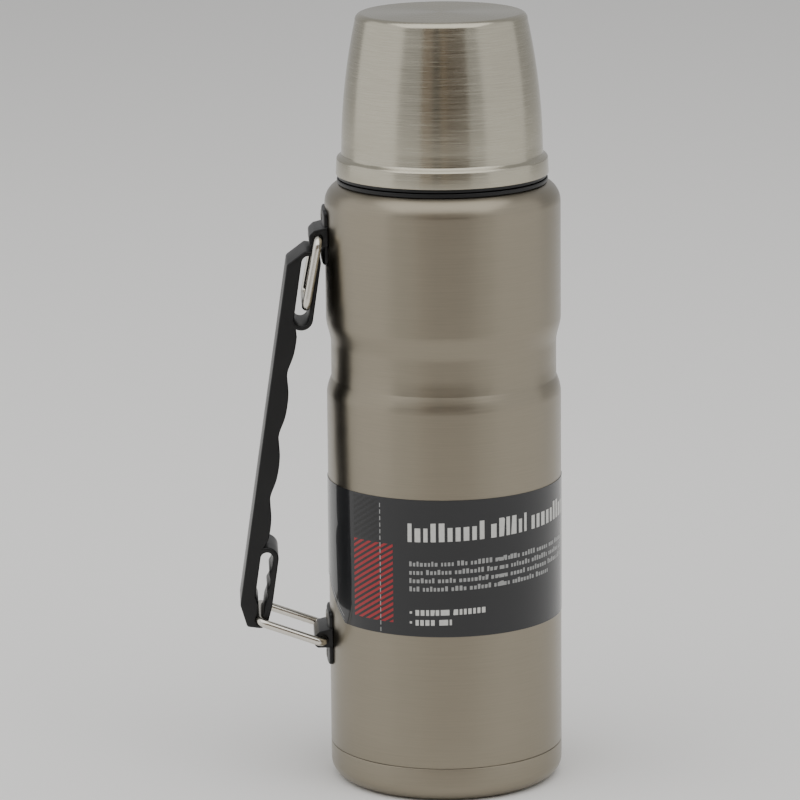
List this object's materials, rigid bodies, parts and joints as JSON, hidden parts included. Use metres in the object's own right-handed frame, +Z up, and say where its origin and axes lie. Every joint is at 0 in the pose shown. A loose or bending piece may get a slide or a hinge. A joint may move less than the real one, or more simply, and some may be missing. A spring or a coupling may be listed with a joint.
{
  "type": "vacuum flask",
  "caption": "Double-walled steel vacuum flask with a screw-on steel drinking cup, turn-to-pour stopper and a swing-out carrying handle on wire bails.",
  "frame": {"origin": "centre of the circular base, on the surface that the flask stands on", "axes": "+Z up along the barrel's axis, through the cup; -X towards the carrying handle; +Y completes the right-handed frame, so the handle is on the left when looking along +Y"},
  "size_m": [0.132, 0.0956, 0.3148],
  "materials": {
    "coated_steel": "warm grey clear coat over fine horizontal brushing",
    "cup_steel": "bright brushed stainless",
    "plain_steel": "mill finish stainless",
    "vessel_steel": "electropolished stainless",
    "wire_steel": "bright drawn stainless wire",
    "rivet_steel": "plain rivet head",
    "copper_foil": "bright copper-coloured foil",
    "frit_glass": "fused sealing frit",
    "black_plastic": "satin black polypropylene",
    "handle_nylon": "fine-textured black nylon",
    "liner_plastic": "satin black food-grade plastic",
    "stopper_plastic": "satin charcoal plastic",
    "knob_plastic": "satin charcoal plastic",
    "knob_disc": "spun grey metal disc",
    "valve_plastic": "dark grey plastic",
    "white_foam": "open-cell insulating foam",
    "silicone": "translucent white silicone",
    "red_silicone": "red silicone",
    "label_print": "glossy charcoal film with red hatched block"
  },
  "bodies": {
    "flask": {"outer_shell": "coated_steel", "base_cap": "coated_steel", "vacuum_base_plate": "plain_steel", "seal_plug": "frit_glass", "getter_capsule": "plain_steel", "inner_vessel": "vessel_steel", "inner_vessel_base": "vessel_steel", "radiation_foil": "copper_foil", "threaded_collar": "black_plastic", "label_wrap": "label_print", "upper_weld_plate": "plain_steel", "lower_weld_plate": "plain_steel", "upper_bracket": "black_plastic", "lower_bracket": "black_plastic", "upper_bracket_rivets": "rivet_steel", "lower_bracket_rivets": "rivet_steel"},
    "upper_bail": {"upper_bail": "wire_steel"},
    "lower_bail": {"lower_bail": "wire_steel"},
    "handle": {"handle_bar": "handle_nylon"},
    "stopper_seal": {"stopper_gasket": "silicone"},
    "stopper": {"stopper_housing": "stopper_plastic", "stopper_foam": "white_foam", "stopper_base_cap": "stopper_plastic"},
    "valve": {"valve_stem": "valve_plastic", "valve_seal": "red_silicone"},
    "knob": {"pour_knob": "knob_plastic", "knob_cap": "knob_disc"},
    "cup_seal": {"cup_gasket": "silicone"},
    "cup": {"cup_shell": "cup_steel", "cup_liner": "liner_plastic", "cup_thread_ring": "black_plastic"}
  },
  "joints": [
    {"name": "upper_bail_swing", "type": "hinge", "parent": "flask", "child": "upper_bail", "pos_m": [-0.0505, 0, 0.2255], "axis": [0, 1, 0], "range_deg": [0, 49]},
    {"name": "lower_bail_swing", "type": "hinge", "parent": "flask", "child": "lower_bail", "pos_m": [-0.0505, 0, 0.0593], "axis": [0, -1, 0], "range_deg": [0, 12]},
    {"name": "handle_swing", "type": "hinge", "parent": "lower_bail", "child": "handle", "pos_m": [-0.07634, 0, 0.06871], "axis": [0, 1, 0], "range_deg": [0, 4.6]},
    {"name": "stopper_lift", "type": "slide", "parent": "flask", "child": "stopper_seal", "axis": [0, 0, 1], "range_m": [0, 0.05]},
    {"name": "stopper_turn", "type": "hinge", "parent": "stopper_seal", "child": "stopper", "pos_m": [0, 0, 0.27], "axis": [0, 0, 1], "continuous": true},
    {"name": "valve_lift", "type": "slide", "parent": "stopper", "child": "valve", "axis": [0, 0, 1], "range_m": [0, 0.005]},
    {"name": "knob_turn", "type": "hinge", "parent": "stopper", "child": "knob", "pos_m": [0, 0, 0.28], "axis": [0, 0, 1], "range_deg": [0, 180]},
    {"name": "cup_lift", "type": "slide", "parent": "stopper_seal", "child": "cup_seal", "axis": [0, 0, 1], "range_m": [0, 0.06]},
    {"name": "cup_turn", "type": "hinge", "parent": "cup_seal", "child": "cup", "pos_m": [0, 0, 0.26], "axis": [0, 0, 1], "continuous": true}
  ],
  "couplings": [
    {"joint": "lower_bail_swing", "follows": "upper_bail_swing", "ratio": 0.24442},
    {"joint": "handle_swing", "follows": "upper_bail_swing", "ratio": 0.09293},
    {"joint": "valve_lift", "follows": "knob_turn", "m_per_rad": 0.0015915}
  ]
}
